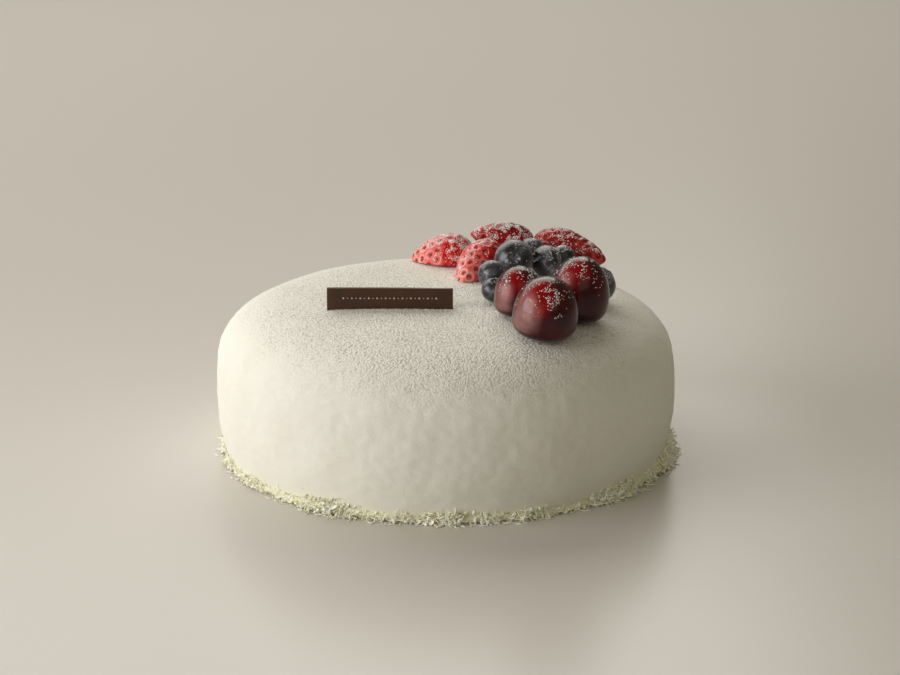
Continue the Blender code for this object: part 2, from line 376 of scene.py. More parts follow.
cake = {
    "radius": 90.6,  # mm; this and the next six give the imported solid's shape
    "height": 62.7,
    "widestHeight": 27.2,
    "footRadius": 86.8,
    "shoulderAcross": 4.4,
    "shoulderUp": 3.3,
    "bellyPower": 2.2,
    "cuts": 10,  # the cube is cut twice, so each of its sides has 121 by 121 faces
    "denseAbove": 40.0,  # mm, the height above which the mesh is densest
    "sideShare": 0.5,  # how dense it is below that, next to the top's 1
    "underShare": 0.1,
    "grainHeight": 0.085,  # mm, of the sandy coat over the top
    "grainSize": 1.7,
    "grainSunk": 0.10,  # mm, how far it lies below the smooth coat
    "grainEdge": 58.5,  # mm, the height at which it ends
    "grainEdgeFront": 51.0,
    "grainFade": (11.0, 9.0),  # mm, below and above its edge
    "edgeWaves": ((4.5, 14.0, 2.2), (2.5, 4.5, 6.1)),  # mm high and long, and the noise's shift
    "patchSize": 9.0,  # mm, of the patches where it is thicker or thinner
    "patchStrength": 0.2,
    "waveHeight": 0.42,  # mm, of the side's slow unevenness
    "waveSize": 34.0,
    "rippleHeight": 0.42,
    "rippleSize": 13.0,
    "rippleSlant": 0.35,
    "pebbleHeight": 0.22,
    "pebbleSize": 3.3,
    "footFade": (1.5, 10.0),  # mm, the heights over which the unevenness begins
    "bandFade": (44.0, 60.0),  # and over which ripples and pebbles end
    "coatSunk": 0.05,  # mm, how far the whole coat lies inside the solid
    "seed": 5,
    # the coat's colours, from painted shade between the granules to painted highlights on them
    "coatColours": (
        (0.0, (0.66, 0.63, 0.55)),
        (0.4, (0.87, 0.845, 0.77)),
        (0.65, (0.925, 0.905, 0.84)),
        (0.9, (0.98, 0.97, 0.94)),
    ),
    "footColour": (0.84, 0.83, 0.66),  # a yellower tint towards the foot
    "footTint": 0.4,
    "footTintHeight": 16.0,  # mm
}


def shoulderHeight(radius):
    share = np.clip(radius / cake["radius"], 0, 1) ** (cake["shoulderAcross"] / 2)
    rise = np.sqrt(1 - share**2) ** (2 / cake["shoulderUp"])
    return cake["widestHeight"] + (cake["height"] - cake["widestHeight"]) * rise


def cakeProfile():
    # radius and height in mm, from the middle of the top over the side to the middle of the underside
    angle = np.linspace(math.pi / 2, 0, 500)
    across = np.clip(np.cos(angle), 0, 1) ** (2 / cake["shoulderAcross"])
    rise = np.sin(angle) ** (2 / cake["shoulderUp"])
    upper = cake["height"] - cake["widestHeight"]
    top = np.c_[cake["radius"] * across, cake["widestHeight"] + upper * rise]
    top[0] = 0, cake["height"]
    height = np.linspace(cake["widestHeight"], 0, 200)[1:]
    drop = (1 - height / cake["widestHeight"]) ** cake["bellyPower"]
    belly = np.c_[cake["footRadius"] + (cake["radius"] - cake["footRadius"]) * (1 - drop), height]
    under = np.c_[np.linspace(cake["footRadius"], 0, 120)[1:], np.zeros(119)]
    return np.concatenate([top, belly, under])


def roundCube(points):
    # pushes the points of a cube from -1 to 1 out to a sphere with even spacing
    second, third = np.roll(points**2, -1, axis=1), np.roll(points**2, -2, axis=1)
    return points * np.sqrt(1 - second / 2 - third / 2 + second * third / 3)


def grainMask(points):
    # 1 where the coat is sandy, falling away down the shoulder; points in mm
    radius = np.maximum(np.hypot(points[:, 0], points[:, 1]), 1)
    front = np.clip(-points[:, 1] / radius, 0, 1) ** 2
    edge = cake["grainEdge"] + (cake["grainEdgeFront"] - cake["grainEdge"]) * front
    ragged = points[:, 2]
    for height, size, shift in cake["edgeWaves"]:
        ragged = ragged + height * softNoise(points, size, shift)
    patchy = 0.94 + cake["patchStrength"] * softNoise(points, cake["patchSize"], 1.4)
    below, above = cake["grainFade"]
    return smoothStep(ragged, edge - below, edge + above) * patchy


def makeCake(look):
    body = addPrimitive("velvetCake", bpy.ops.mesh.primitive_cube_add, size=2)
    for _ in range(2):
        editMesh(body, bpy.ops.mesh.subdivide, number_cuts=cake["cuts"])
    sphere = roundCube(readPoints(body))
    profile = cakeProfile()
    steps = np.diff(profile, axis=0)
    bands = (profile[1:, 0] + profile[:-1, 0]) / 2 * np.hypot(steps[:, 0], steps[:, 1])
    lower = np.where(profile[1:, 1] > 0, cake["sideShare"], cake["underShare"])
    bands *= np.where(profile[1:, 1] > cake["denseAbove"], 1, lower)
    share = np.r_[0, np.cumsum(bands)] / bands.sum()
    wanted = (1 - np.clip(sphere[:, 2], -1, 1)) / 2  # the same share of the mesh lies above
    radius = np.interp(wanted, share, profile[:, 0])
    height = np.interp(wanted, share, profile[:, 1])
    flat = np.maximum(np.hypot(sphere[:, 0], sphere[:, 1]), 1e-9)
    points = np.c_[sphere[:, 0] / flat * radius, sphere[:, 1] / flat * radius, height]
    writePoints(body, points * mm)
    normals = readNormals(body)
    draw = np.random.default_rng(cake["seed"])
    mask = grainMask(points)
    free = smoothStep(points[:, 2], *cake["footFade"])  # the foot stays on its circle
    band = free * (1 - smoothStep(points[:, 2], *cake["bandFade"]))
    slant = cake["rippleSlant"]
    slanted = points @ np.array([[1, 0, slant], [0, 1, 0], [-slant, 0, 1]])
    lift = cake["waveHeight"] * free * softNoise(points * (1, 1, 0.6), cake["waveSize"], 3.1)
    lift += cake["rippleHeight"] * band * softNoise(slanted * (1, 1, 0.7), cake["rippleSize"], 5.3)
    lift += cake["pebbleHeight"] * band * softNoise(points, cake["pebbleSize"], 8.8)
    grains = np.clip(draw.normal(0, 1, len(points)), -2, 2.4)
    uneven = softNoise(points, cake["grainSize"], 9.2)
    lift += mask * cake["grainHeight"] * (0.7 * grains + 0.9 * uneven)
    lift -= cake["grainSunk"] * mask + cake["coatSunk"]
    points = points + normals * lift[:, None]
    points[:, 2] = np.maximum(points[:, 2], 0)
    writePoints(body, points * mm)
    setNumbers(body, "grain", mask)
    finishPiece(body, look, "velvet_coating", "cake")


def velvetLook():
    look = Surface("whiteVelvet", {"Roughness": 0.85, "Specular IOR Level": 0.2, "Sheen Weight": 0.05})
    sandy = look.attribute("grain")
    granules = 1.0 - look.pebbles(0.95 * mm)
    crumbs = 1.0 - look.pebbles(0.5 * mm)
    fine = look.grain(0.5 * mm, 2.0, 0.6)
    broad = look.grain(26 * mm)
    patches = look.grain(4 * mm)
    strength = sandy * 0.92 + 0.08  # the smooth side still shows a little of the grain
    # painted shade between the granules and painted highlights on them, over the coat's own grain tone
    grainToneAndShade = (granules - 0.55) * 1.3 + (crumbs - 0.55) * 0.7 + (fine - 0.5) * 1.2
    tone = (broad - 0.5) * 0.25 + grainToneAndShade * strength + sandy * 0.08 + 0.5
    white = look.ramp(tone, cake["coatColours"])
    low = look.node("SeparateXYZ", {"Vector": look.coordinates()}, 2)
    foot = look.clamp(1.0 - low * (1 / (cake["footTintHeight"] * mm)) + (broad - 0.5))
    white = look.mix(foot * cake["footTint"], white, cake["footColour"])
    height = (granules * (patches + 0.5) * 0.7 + crumbs * 0.3 + fine * 0.3) * strength
    return look.shade({"Base Color": white, "Normal": look.bump(height, 0.5 * mm)})


# The ring of shreds at the foot

shreds = {
    "count": 3700,
    "clumps": 120,
    "clumpSpread": 2.4,  # mm along the foot
    "clumpSizes": (0.1, 2.4),  # the smallest and the largest, next to the usual 1
    "loners": 0.25,  # share of the strands outside the clumps
    "needles": 0.45,  # share of long thin strands; the others are short flakes
    "needleLength": (2.4, 6.6),  # mm
    "needleWidth": (0.32, 0.56),
    "flakeLength": (1.2, 3.2),
    "flakeWidth": (0.6, 1.5),
    "thickness": 0.26,
    "curl": 1.3,  # times the thickness
    "ringHeight": 3.9,  # mm
    "ringReach": 3.0,  # mm outwards
    "swells": ((-8.0, 36.0, 1.2), (-120.0, 14.0, 0.7), (-175.0, 30.0, -0.55), (-62.0, 15.0, -0.4)),
    "looseCount": 210,  # strands that fell flat beside the ring
    "looseReach": (2.0, 6.4),  # mm out from the foot
    "looseLength": (1.2, 4.5),
    "looseWidth": (0.35, 0.8),
    "looseThickness": 0.18,
    "looseHeight": 0.22,
    "floorGap": 0.05,
    "bedReach": 2.1,  # mm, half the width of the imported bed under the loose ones
    "bedRise": 1.7,  # how far it is stretched upwards
    "bedRoughness": 0.22,
    "seed": 8,
    "colours": (
        (0.0, (0.50, 0.38, 0.18)),
        (0.015, (0.90, 0.87, 0.60)),
        (0.2, (0.965, 0.95, 0.73)),
        (0.5, (0.985, 0.97, 0.82)),
        (1.0, (0.99, 0.985, 0.93)),
    ),
    # painted shade: the yellower colour deep in the ring and on its front
    "innerShadeColour": (0.95, 0.92, 0.46),
    # the bed's own tones, with painted shade in the gaps between its strands
    "bedColoursAndGapShade": ((0.3, (0.88, 0.84, 0.50)), (0.7, (0.99, 0.98, 0.82))),
}


def makeStripTemplate():
    # a unit strip along X, narrowing to both ends and slightly curled
    grid = bpy.ops.mesh.primitive_grid_add
    strip = addPrimitive("stripTemplate", grid, x_subdivisions=3, y_subdivisions=1, size=1)
    applyModifier(strip, "SOLIDIFY", thickness=1.0, offset=0.0)
    points = readPoints(strip)
    along = points[:, 0] * 2
    points[:, 1] *= 1 - 0.45 * along**2
    points[:, 2] *= 1 - 0.35 * along**2
    points[:, 2] += shreds["curl"] * (along**2 - 0.4)
    writePoints(strip, points)
    return strip


def ringThickness(angles):
    # how much thicker the ring is than usual; a swell is a direction and a spread in degrees, and its size
    total = np.zeros(len(angles))
    for direction, spread, size in shreds["swells"]:
        away = (angles - math.radians(direction) + math.pi) % (2 * math.pi) - math.pi
        total += size * np.exp(-((away / math.radians(spread)) ** 2))
    return total


def makeShreds(look):
    strip = makeStripTemplate()
    draw = np.random.default_rng(shreds["seed"])
    count, foot = shreds["count"], cake["footRadius"]
    clumpAngles = draw.uniform(-math.pi, math.pi, shreds["clumps"])
    clumpSizes = draw.gamma(1.2, 0.8, shreds["clumps"]).clip(*shreds["clumpSizes"])
    owners = draw.choice(shreds["clumps"], count, p=clumpSizes / clumpSizes.sum())
    angles = clumpAngles[owners] + draw.normal(0, shreds["clumpSpread"] / foot, count)
    alone = draw.random(count) < shreds["loners"]
    angles[alone] = draw.uniform(-math.pi, math.pi, alone.sum())
    heap = np.where(alone, 0.4, 0.2 + 0.6 * clumpSizes[owners])
    thick = ringThickness(angles)
    high = shreds["ringHeight"] * (0.45 + 0.55 * heap + 0.62 * thick).clip(0.3, 1.9)
    reach = shreds["ringReach"] * (0.5 + 0.5 * heap + 0.6 * thick).clip(0.3, 1.7)
    share = draw.random(count) ** 0.8
    heights = 0.25 + high * (1 - share) * draw.uniform(0.75, 1.05, count)
    lean = 1 - (heights / (high + 0.6)).clip(0, 1) ** 1.5  # the heap slopes outwards
    radii = foot + 0.2 + reach * lean * draw.uniform(0.5, 1.05, count)
    circle = onCircle(angles)
    places = circle * radii[:, None] + np.c_[np.zeros((count, 2)), heights]
    ups = circle * draw.uniform(0.0, 1.0, (count, 1)) + (0, 0, 0.7)
    ups += draw.normal(0, 0.65, (count, 3))
    needle = draw.random(count) < shreds["needles"]
    kinds = []
    for kind in ("needle", "flake"):
        lengths = draw.uniform(*shreds[kind + "Length"], count)
        widths = draw.uniform(*shreds[kind + "Width"], count)
        kinds.append(np.c_[lengths, widths, np.full(count, shreds["thickness"])])
    sizes = np.where(needle[:, None], *kinds)

    # the strands that fell flat
    looseCount = shreds["looseCount"]
    looseAngles = draw.uniform(-math.pi, math.pi, looseCount)
    away = 3.0 + np.abs(draw.normal(0, 1.2, looseCount)) + 2.0 * ringThickness(looseAngles)
    looseRadii = foot + np.clip(away, *shreds["looseReach"])
    loosePlaces = onCircle(looseAngles) * looseRadii[:, None] + (0, 0, shreds["looseHeight"])
    looseUps = draw.normal(0, 0.05, (looseCount, 3)) + (0, 0, 1)
    looseWidths = draw.uniform(*shreds["looseWidth"], looseCount)
    looseLengths = draw.uniform(*shreds["looseLength"], looseCount)
    looseSizes = np.c_[looseLengths, looseWidths, np.full(looseCount, shreds["looseThickness"])]

    places, ups, sizes = np.r_[places, loosePlaces], np.r_[ups, looseUps], np.r_[sizes, looseSizes]
    turns = draw.uniform(-math.pi, math.pi, len(places))
    matrices = placeMatrices(places * mm, ups, turns, sizes * mm)
    ring, copies = joinCopies("shredRing", strip, matrices)
    points = readPoints(ring)
    lowest = np.full(len(matrices), np.inf)
    np.minimum.at(lowest, copies, points[:, 2])
    points[:, 2] += np.maximum(shreds["floorGap"] * mm - lowest, 0)[copies]  # none goes through the floor
    writePoints(ring, points)
    setNumbers(ring, "tint", draw.random(len(matrices))[copies])
    across = np.hypot(points[:, 0], points[:, 1])
    front = np.clip((points[:, 0] * 0.35 - points[:, 1] * 0.94) / across, 0, 1)
    outer = smoothStep(across / mm - foot, -0.6, 1.8)
    setNumbers(ring, "depth", outer - (1 - outer) * front * 0.8)  # painted shade: yellower inside and most of all in front, where the shreds lie in shade
    finishPiece(ring, look, "white_shreds", "cake")


def makeShredBed(look):
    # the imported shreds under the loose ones: a low bead round the foot
    middle = cake["footRadius"] + 0.2
    sizes = dict(major_radius=middle * mm, minor_radius=1.0 * mm, major_segments=360, minor_segments=14)
    bed = addPrimitive("shredBed", bpy.ops.mesh.primitive_torus_add, **sizes)
    points = readPoints(bed) / mm
    angles = np.arctan2(points[:, 1], points[:, 0])
    radii = np.hypot(points[:, 0], points[:, 1]) - middle
    thick = ringThickness(angles)
    rough = 1 + shreds["bedRoughness"] * softNoise(points, 1.6, 4.4)
    radii = cake["footRadius"] - 0.4 + radii * (shreds["bedReach"] + 1.1 * thick) * rough
    heights = np.maximum((points[:, 2] + 0.75) * (shreds["bedRise"] + 1.0 * thick) * rough, 0.04)
    writePoints(bed, np.c_[radii * np.cos(angles), radii * np.sin(angles), heights] * mm)
    finishPiece(bed, look, "white_shreds", "cake")


def shredLook():
    look = Surface("whiteShreds", {"Roughness": 0.45, "Specular IOR Level": 0.4})
    streak = look.grain(1.5 * mm)
    colour = look.ramp(look.attribute("tint") + (streak - 0.5) * 0.2, shreds["colours"])
    # painted shade mixed in where the ring is deep or faces the front
    colour = look.mix(look.attribute("depth") * 0.35 + 0.65, shreds["innerShadeColour"], colour)
    return look.shade({"Base Color": colour})


def shredBedLook():
    look = Surface("shredBed", {"Roughness": 0.8})
    strands = look.grain(0.9 * mm, 3.0, 0.7)
    # painted shade: darker and yellower where the strands dip, in the gaps
    colour = look.ramp(strands, shreds["bedColoursAndGapShade"])
    return look.shade({"Base Color": colour, "Normal": look.bump(strands, 0.8 * mm)})


# The chocolate bar

bar = {
    "edge": 0.16,  # mm, its rounding
    "bow": 0.16,  # mm, how far the top edge swells
    "wave": 0.05,  # mm, how far its face wanders
    "cuts": (0, -0.4, -0.3, -0.2, -0.1, 0.1, 0.2, 0.3, 0.4),  # across it, as shares of its length
    "beads": 23,  # a plain row of pale beads along its face
    "beadStep": 1.62,  # mm
    "beadRadius": 0.36,
    "smallBead": 0.62,  # times that, for every other one
    "beadThickness": 0.16,
    "colours": ((0.3, linear(64, 40, 25)), (0.7, linear(80, 50, 31))),
    "beadColours": ((0.3, linear(176, 164, 148)), (0.7, linear(214, 203, 188))),
}


def makeBar(look):
    low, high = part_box("chocolate_bar")
    size, middle = high - low, (high + low) / 2
    cube = bpy.ops.mesh.primitive_cube_add
    piece = addPrimitive("chocolateBar", cube, size=1, location=middle, scale=size)
    bpy.ops.object.transform_apply(location=True, scale=True)
    applyModifier(piece, "BEVEL", width=bar["edge"] * mm, segments=3)
    for share in bar["cuts"]:
        place = middle + Vector((share * size.x, 0, 0))
        editMesh(piece, bpy.ops.mesh.bisect, plane_co=place, plane_no=(1, 0, 0))
    points = readPoints(piece)
    along = (points[:, 0] - middle.x) / size.x * 2
    upper = points[:, 2] > middle.z
    swell = bar["bow"] * mm * (0.7 * np.cos(along * 2.6 + 0.7) - 0.5)
    points[:, 2] += np.where(upper, np.minimum(swell, 0), 0)
    points[:, 1] += bar["wave"] * mm * np.sin(along * 4.0)
    writePoints(piece, points)
    finishPiece(piece, look, "dark_chocolate", "chocolate_bar")


def makeBeads(look):
    low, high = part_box("chocolate_bar")
    size, middle = high - low, (high + low) / 2
    bead = addSphere("beadTemplate", 12, 8)
    back = dict(plane_co=(0, 0, -0.2), plane_no=(0, 0, 1))  # its flat back
    editMesh(bead, bpy.ops.mesh.bisect, **back, use_fill=True, clear_inner=True)
    count = bar["beads"]
    spots = (np.arange(count) - (count - 1) / 2) * bar["beadStep"]
    radii = np.full(count, bar["beadRadius"])
    radii[1::2] *= bar["smallBead"]
    level = (shoulderHeight(30.0) + high.z / mm) / 2  # half way up what stands out of the cake
    front = low.y / mm + bar["wave"] * np.sin(spots * mm / size.x * 8.0)
    places = np.c_[spots + middle.x / mm, front, np.full(count, level)]
    ups = np.tile((0.0, -1.0, 0.0), (count, 1))
    sizes = np.c_[radii, radii, np.full(count, bar["beadThickness"])]
    matrices = placeMatrices(places * mm, ups, np.zeros(count), sizes * mm)
    row, _ = joinCopies("barBeads", bead, matrices)
    finishPiece(row, look, "dark_chocolate", "chocolate_bar")


def chocolateLook():
    look = Surface("darkChocolate", {"Specular IOR Level": 0.4})
    cloud = look.grain(7 * mm, 3.0)
    colour = look.ramp(cloud, bar["colours"])
    fine = look.grain(0.5 * mm)
    rough = cloud * 0.25 + 0.32
    return look.shade({"Base Color": colour, "Roughness": rough, "Normal": look.bump(fine, 0.03 * mm)})


def beadLook():
    look = Surface("paleBeads", {"Roughness": 0.6})
    return look.shade({"Base Color": look.ramp(look.grain(1.5 * mm), bar["beadColours"])})


# Cherries

cherries = {
    "fruit": {  # place on the cake, width and height, all in mm
        "cherry_front": (36.2, -50.4, 24.4, 22.9),
        "cherry_right": (49.4, -30.4, 23.2, 24.4),
        "cherry_left": (27.6, -29.6, 19.2, 18.6),
    },
    "widest": 0.35,  # share of the height
    "topPower": 2.1,  # how full they are above and below it
    "footPower": 3.2,
    "dimple": 1.2,  # mm, the stem's hollow underneath
    "dimpleReach": 0.45,  # share of the radius
    "gap": 0.3,  # mm above the cake
    "lumpHeight": 0.24,  # mm
    "lumpSize": 9.0,
    "mesh": (110, 80),  # segments and rings
    "cheek": (-0.20, -0.73, 0.65),  # the way that the painted lit side faces: a brighter red standing in for light through the skin
    "bloom": (-0.70, -0.70, 0.14),  # and the painted highlight: a pale patch standing in for the key light's reflection
    "colours": ((0.35, linear(42, 0, 5)), (0.52, linear(60, 0, 7)), (0.7, linear(82, 0, 9))),
    "litSideColour": linear(142, 0, 4),
    "paintedHighlightColour": linear(212, 154, 152),
}


def surfacePlace(x, y, along, gap):
    # a frame on the cake's top, Z along its normal and X towards along; all in mm
    radius = math.hypot(x, y)
    slope = float(shoulderHeight(radius + 0.5) - shoulderHeight(radius)) / 0.5
    normal = Vector((-slope * x / radius, -slope * y / radius, 1)).normalized()
    place = Vector((x, y, float(shoulderHeight(radius)))) + normal * gap
    return turnedFrame(place, along, normal)


def turnedFrame(middle, along, up):
    z = Vector(up).normalized()
    y = z.cross(Vector(along)).normalized()
    turn = Matrix((y.cross(z), y, z)).transposed().to_4x4()
    return Matrix.Translation(Vector(middle) * mm) @ turn


def cherryProfile(width, height):
    angle = np.linspace(0, math.pi, 600)
    upper = angle < math.pi / 2
    power = np.where(upper, 2 / cherries["topPower"], 2 / cherries["footPower"])
    radius = np.sin(angle).clip(0) ** power
    rise = np.abs(np.cos(angle)) ** power
    widest = cherries["widest"]
    level = widest + np.where(upper, (1 - widest) * rise, -widest * rise)
    hollow = np.where(upper, 0, cherries["dimple"] * np.maximum(0, 1 - radius / cherries["dimpleReach"]))
    return np.c_[width / 2 * radius, height * level + hollow]


def followProfile(profile, share):
    # the radius and height that lie this share of the way along the profile
    run = runAlong(profile)
    return np.interp(share * run[-1], run, profile[:, 0]), np.interp(share * run[-1], run, profile[:, 1])


def makeCherries(look):
    pieces = {}
    cheek = np.array(Vector(cherries["cheek"]).normalized())
    bloom = np.array(Vector(cherries["bloom"]).normalized())
    for number, (node, (x, y, width, height)) in enumerate(cherries["fruit"].items()):
        piece = addSphere(node.replace("_", "Skin_"), *cherries["mesh"])
        sphere = readPoints(piece)
        around = np.arctan2(sphere[:, 1], sphere[:, 0])
        share = np.arccos(np.clip(sphere[:, 2], -1, 1)) / math.pi
        radius, level = followProfile(cherryProfile(width, height), share)
        crease = 1 - 0.02 * np.cos(around - 1.1 - number) ** 8 * np.sin(share * math.pi)  # its seam
        points = np.c_[radius * crease * np.cos(around), radius * crease * np.sin(around), level]
        writePoints(piece, points * mm)
        lumps = softNoise(points + number * 40, cherries["lumpSize"], 5.0)
        points = points + readNormals(piece) * (lumps * cherries["lumpHeight"])[:, None]
        writePoints(piece, points * mm)
        piece.data.transform(surfacePlace(x, y, Vector((1, 0, 0)), cherries["gap"]))
        uneven = 0.12 * softNoise(points, 4.0, number * 3.0)
        normals = readNormals(piece)
        setNumbers(piece, "cheek", smoothStep(normals @ cheek + uneven, 0.74, 1.0))
        setNumbers(piece, "bloom", smoothStep(normals @ bloom + uneven * 0.4, 0.78, 1.02))
        finishPiece(piece, look, "cherry_skin", node)
        pieces[node] = piece
    return pieces


def cherryLook():
    constants = {
        "Specular IOR Level": 0.2,
        "Coat Roughness": 0.08,
        "Subsurface Weight": 0.05,
        "Subsurface Radius": (1.0, 0.1, 0.08),
        "Subsurface Scale": 1.5 * mm,
    }
    look = Surface("cherrySkin", constants)
    freckle = look.grain(0.6 * mm)
    cheek = look.attribute("cheek")
    ripe = look.ramp(look.grain(11 * mm), cherries["colours"])
    # painted light: a brighter red on the side that faces the light
    ripe = look.mix(cheek * 0.9, ripe, cherries["litSideColour"])
    cloud = look.grain(4 * mm, 3.0, 0.6)
    # painted highlight: a pale patch where the key light's reflection falls, with a little random haze
    hazeAndHighlight = look.attribute("bloom") * (cloud * 0.4 + 0.19) + (cloud - 0.5) * 0.05 + (freckle - 0.5) * 0.02
    colour = look.mix(look.clamp(hazeAndHighlight), ripe, cherries["paintedHighlightColour"])
    coat = 0.5 - cloud * 0.3 - cheek * 0.2
    return look.shade({"Base Color": colour, "Roughness": cloud * 0.3 + 0.12, "Coat Weight": coat})


# Blueberries

blueberries = {
    "crowns": {  # the way that each crown faces
        "blueberry_1": (-0.05, -0.95, 0.28),
        "blueberry_2": (-0.70, -0.55, 0.45),
        "blueberry_3": (0.30, 0.20, 0.93),
        "blueberry_4": (-0.80, -0.55, 0.25),
        "blueberry_5": (0.10, -0.35, 0.93),
        "blueberry_6": (0.55, 0.30, 0.78),
        "blueberry_7": (-0.20, 0.35, 0.91),
    },
    "flatness": 0.92,
    "crownRadius": 0.30,  # share of the berry's radius, as the next three are
    "crownDepth": 0.13,
    "lipHeight": 0.01,
    "lobeHeight": 0.05,
    "lobes": 5,
    "lumpHeight": 0.018,
    "lumpSize": 5.0,  # mm
    "mesh": (60, 44),
    "colours": ((0.0, linear(20, 19, 24)), (0.4, linear(66, 66, 76)), (0.85, linear(184, 180, 196))),
    "crownColour": linear(46, 34, 38),
}


def makeBlueberry(node, crown, look):
    facing = Vector(crown).normalized()
    axis = np.array(facing)
    cadPoints = readPoints(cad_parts[node])
    middle = cadPoints.mean(axis=0)
    for _ in range(3):  # the middle of the box across the axis, found again after each step
        aside = cadPoints - middle
        aside -= np.outer(aside @ axis, axis)
        middle += (aside.max(axis=0) + aside.min(axis=0)) / 2
    radius = np.linalg.norm(aside, axis=1).max()
    half = radius * blueberries["flatness"]
    centre = middle + axis * ((cadPoints @ axis).min() + half - middle @ axis)
    berry = addSphere(node.replace("_", "Skin_"), *blueberries["mesh"])
    points = readPoints(berry)
    polar = np.arccos(np.clip(points[:, 2], -1, 1))
    around = np.arctan2(points[:, 1], points[:, 0])
    upper = polar < math.pi / 2
    lobe = np.abs(np.cos(around * blueberries["lobes"] / 2 + axis[0] * 3)) ** 0.7
    reach = np.sin(polar) / blueberries["crownRadius"] / (0.72 + 0.36 * lobe)  # a star with blunt points
    cup = np.where(upper, 1 - smoothStep(reach, 0.35, 1.0), 0)
    lip = np.where(upper, np.exp(-(((reach - 1.12) / 0.22) ** 2)), 0)
    crownShape = lip * (blueberries["lipHeight"] + blueberries["lobeHeight"] * lobe)
    heights = blueberries["flatness"] * np.cos(polar) - cup * blueberries["crownDepth"] + crownShape
    lumps = softNoise(points * radius / mm, blueberries["lumpSize"], axis[0] * 9)
    lumpy = 1 + blueberries["lumpHeight"] * lumps
    shape = np.c_[points[:, 0] * lumpy, points[:, 1] * lumpy, heights] * radius
    turn = facing.to_track_quat("Z", "Y").to_matrix()
    writePoints(berry, shape @ np.array(turn).T + centre)
    setNumbers(berry, "cup", np.clip(cup + lip * 0.35, 0, 1))
    finishPiece(berry, look, "blueberry_skin", node)
    return berry


def blueberryLook():
    constants = {"Specular IOR Level": 0.7, "Sheen Weight": 0.15, "Sheen Roughness": 0.4}
    look = Surface("blueberrySkin", constants)
    cloud = look.grain(5.5 * mm, 3.0, 0.6)
    freckle = look.grain(0.8 * mm, 3.0, 0.7)
    bloom = (cloud - 0.36) * 2.1 + (freckle - 0.5) * 0.5
    skin = look.ramp(bloom, blueberries["colours"])
    colour = look.mix(look.attribute("cup") * 0.6, skin, blueberries["crownColour"])
    rough = cloud * 0.35 + 0.16
    return look.shade({"Base Color": colour, "Roughness": rough, "Normal": look.bump(freckle, 0.05 * mm)})


# Strawberries

strawberries = {
    "halves": {  # lying on their cut face: broad end and tip on the cake, width, thickness, all in mm
        "strawberry_1": ((12.0, 48.0), (-14.6, 56.2), 22.8, 11.4),
        "strawberry_2": ((21.0, 41.0), (6.8, 14.9), 21.0, 13.6),
    },
    "wholes": {  # broad end, tip, width, in mm
        "strawberry_3": ((36.8, 62.8, 66.7), (10.2, 64.6, 70.6), 14.0),
        "strawberry_4": ((36.6, 54.0, 69.7), (65.2, 38.8, 66.0), 16.8),
    },
    "paleness": {"strawberry_1": 1.3, "strawberry_2": 0.92, "strawberry_3": 0.9, "strawberry_4": 0.8},
    "broadEnd": 0.70,  # lower moves the widest place towards the tip
    "fullness": 0.60,  # lower is fuller
    "lumpHeight": 0.25,  # mm
    "lumpSize": 8.0,
    "gap": 0.3,  # mm above the cake
    "pitStep": 3.8,  # mm between rows of seeds
    "pitRadius": 1.25,
    "pitDepth": 0.68,  # at the tip; at the broad end it is 0.65 times that
    "skinLift": 0.14,  # mm, the skin between the pits
    "rimRadius": 1.6,  # mm, the pale rim round a pit: painted sheen and sugar dust
    "rimWidth": 0.45,
    "seedLength": (0.52, 0.66),  # mm, half of it, as for the width and thickness
    "seedWidth": (0.34, 0.44),
    "seedThickness": 0.24,
    "seedRise": 0.16,  # mm, its middle above the bottom of the pit
    "seedsAbove": 0.9,  # mm above a cut face
    "mesh": (150, 110),
    "seed": 21,
    "halvesSkin": ((214, 6, 8), (240, 112, 102), (252, 190, 182), (172, 6, 14)),  # ripe, pale, rims of painted sheen and sugar dust, pits of painted shade
    "wholesSkin": ((150, 0, 4), (190, 14, 16), (224, 96, 90), (112, 0, 6)),
    "seedColours": ((0.35, linear(108, 14, 18)), (0.6, linear(172, 62, 44))),
}


def berryRadius(share):
    full = np.sin(math.pi * np.clip(share, 0, 1) ** strawberries["broadEnd"])
    return np.clip(full, 0, 1) ** strawberries["fullness"]


def berryPoint(share, around, length, width, height):
    radius = berryRadius(share)
    across, up = width / 2 * radius * np.cos(around), height / 2 * radius * np.sin(around)
    return np.c_[length * (share - 0.5), across, up]


def pitDepth(share):
    return strawberries["pitDepth"] * (0.65 + 0.35 * share)


def seedSpots(length, width, height, draw):
    # staggered rows of seeds from the broad end to the tip, evenly spaced over the skin
    shares = np.linspace(0, 1, 400)
    run = runAlong(berryPoint(shares, np.zeros(400), length, width, height))
    rows = int(run[-1] / strawberries["pitStep"])
    spots = []
    for row in range(1, rows):
        share = float(np.interp(run[-1] * (row + 0.15) / rows, run, shares))
        girth = 2 * math.pi * float(berryRadius(share)) * (width + height) / 4
        number = max(3, round(girth / (strawberries["pitStep"] * 1.12)))
        for k in range(number):
            around = 2 * math.pi * (k + 0.5 * (row % 2) + draw.uniform(-0.12, 0.12)) / number
            spots.append((share + draw.uniform(-0.008, 0.008), around))
    return np.array(spots)


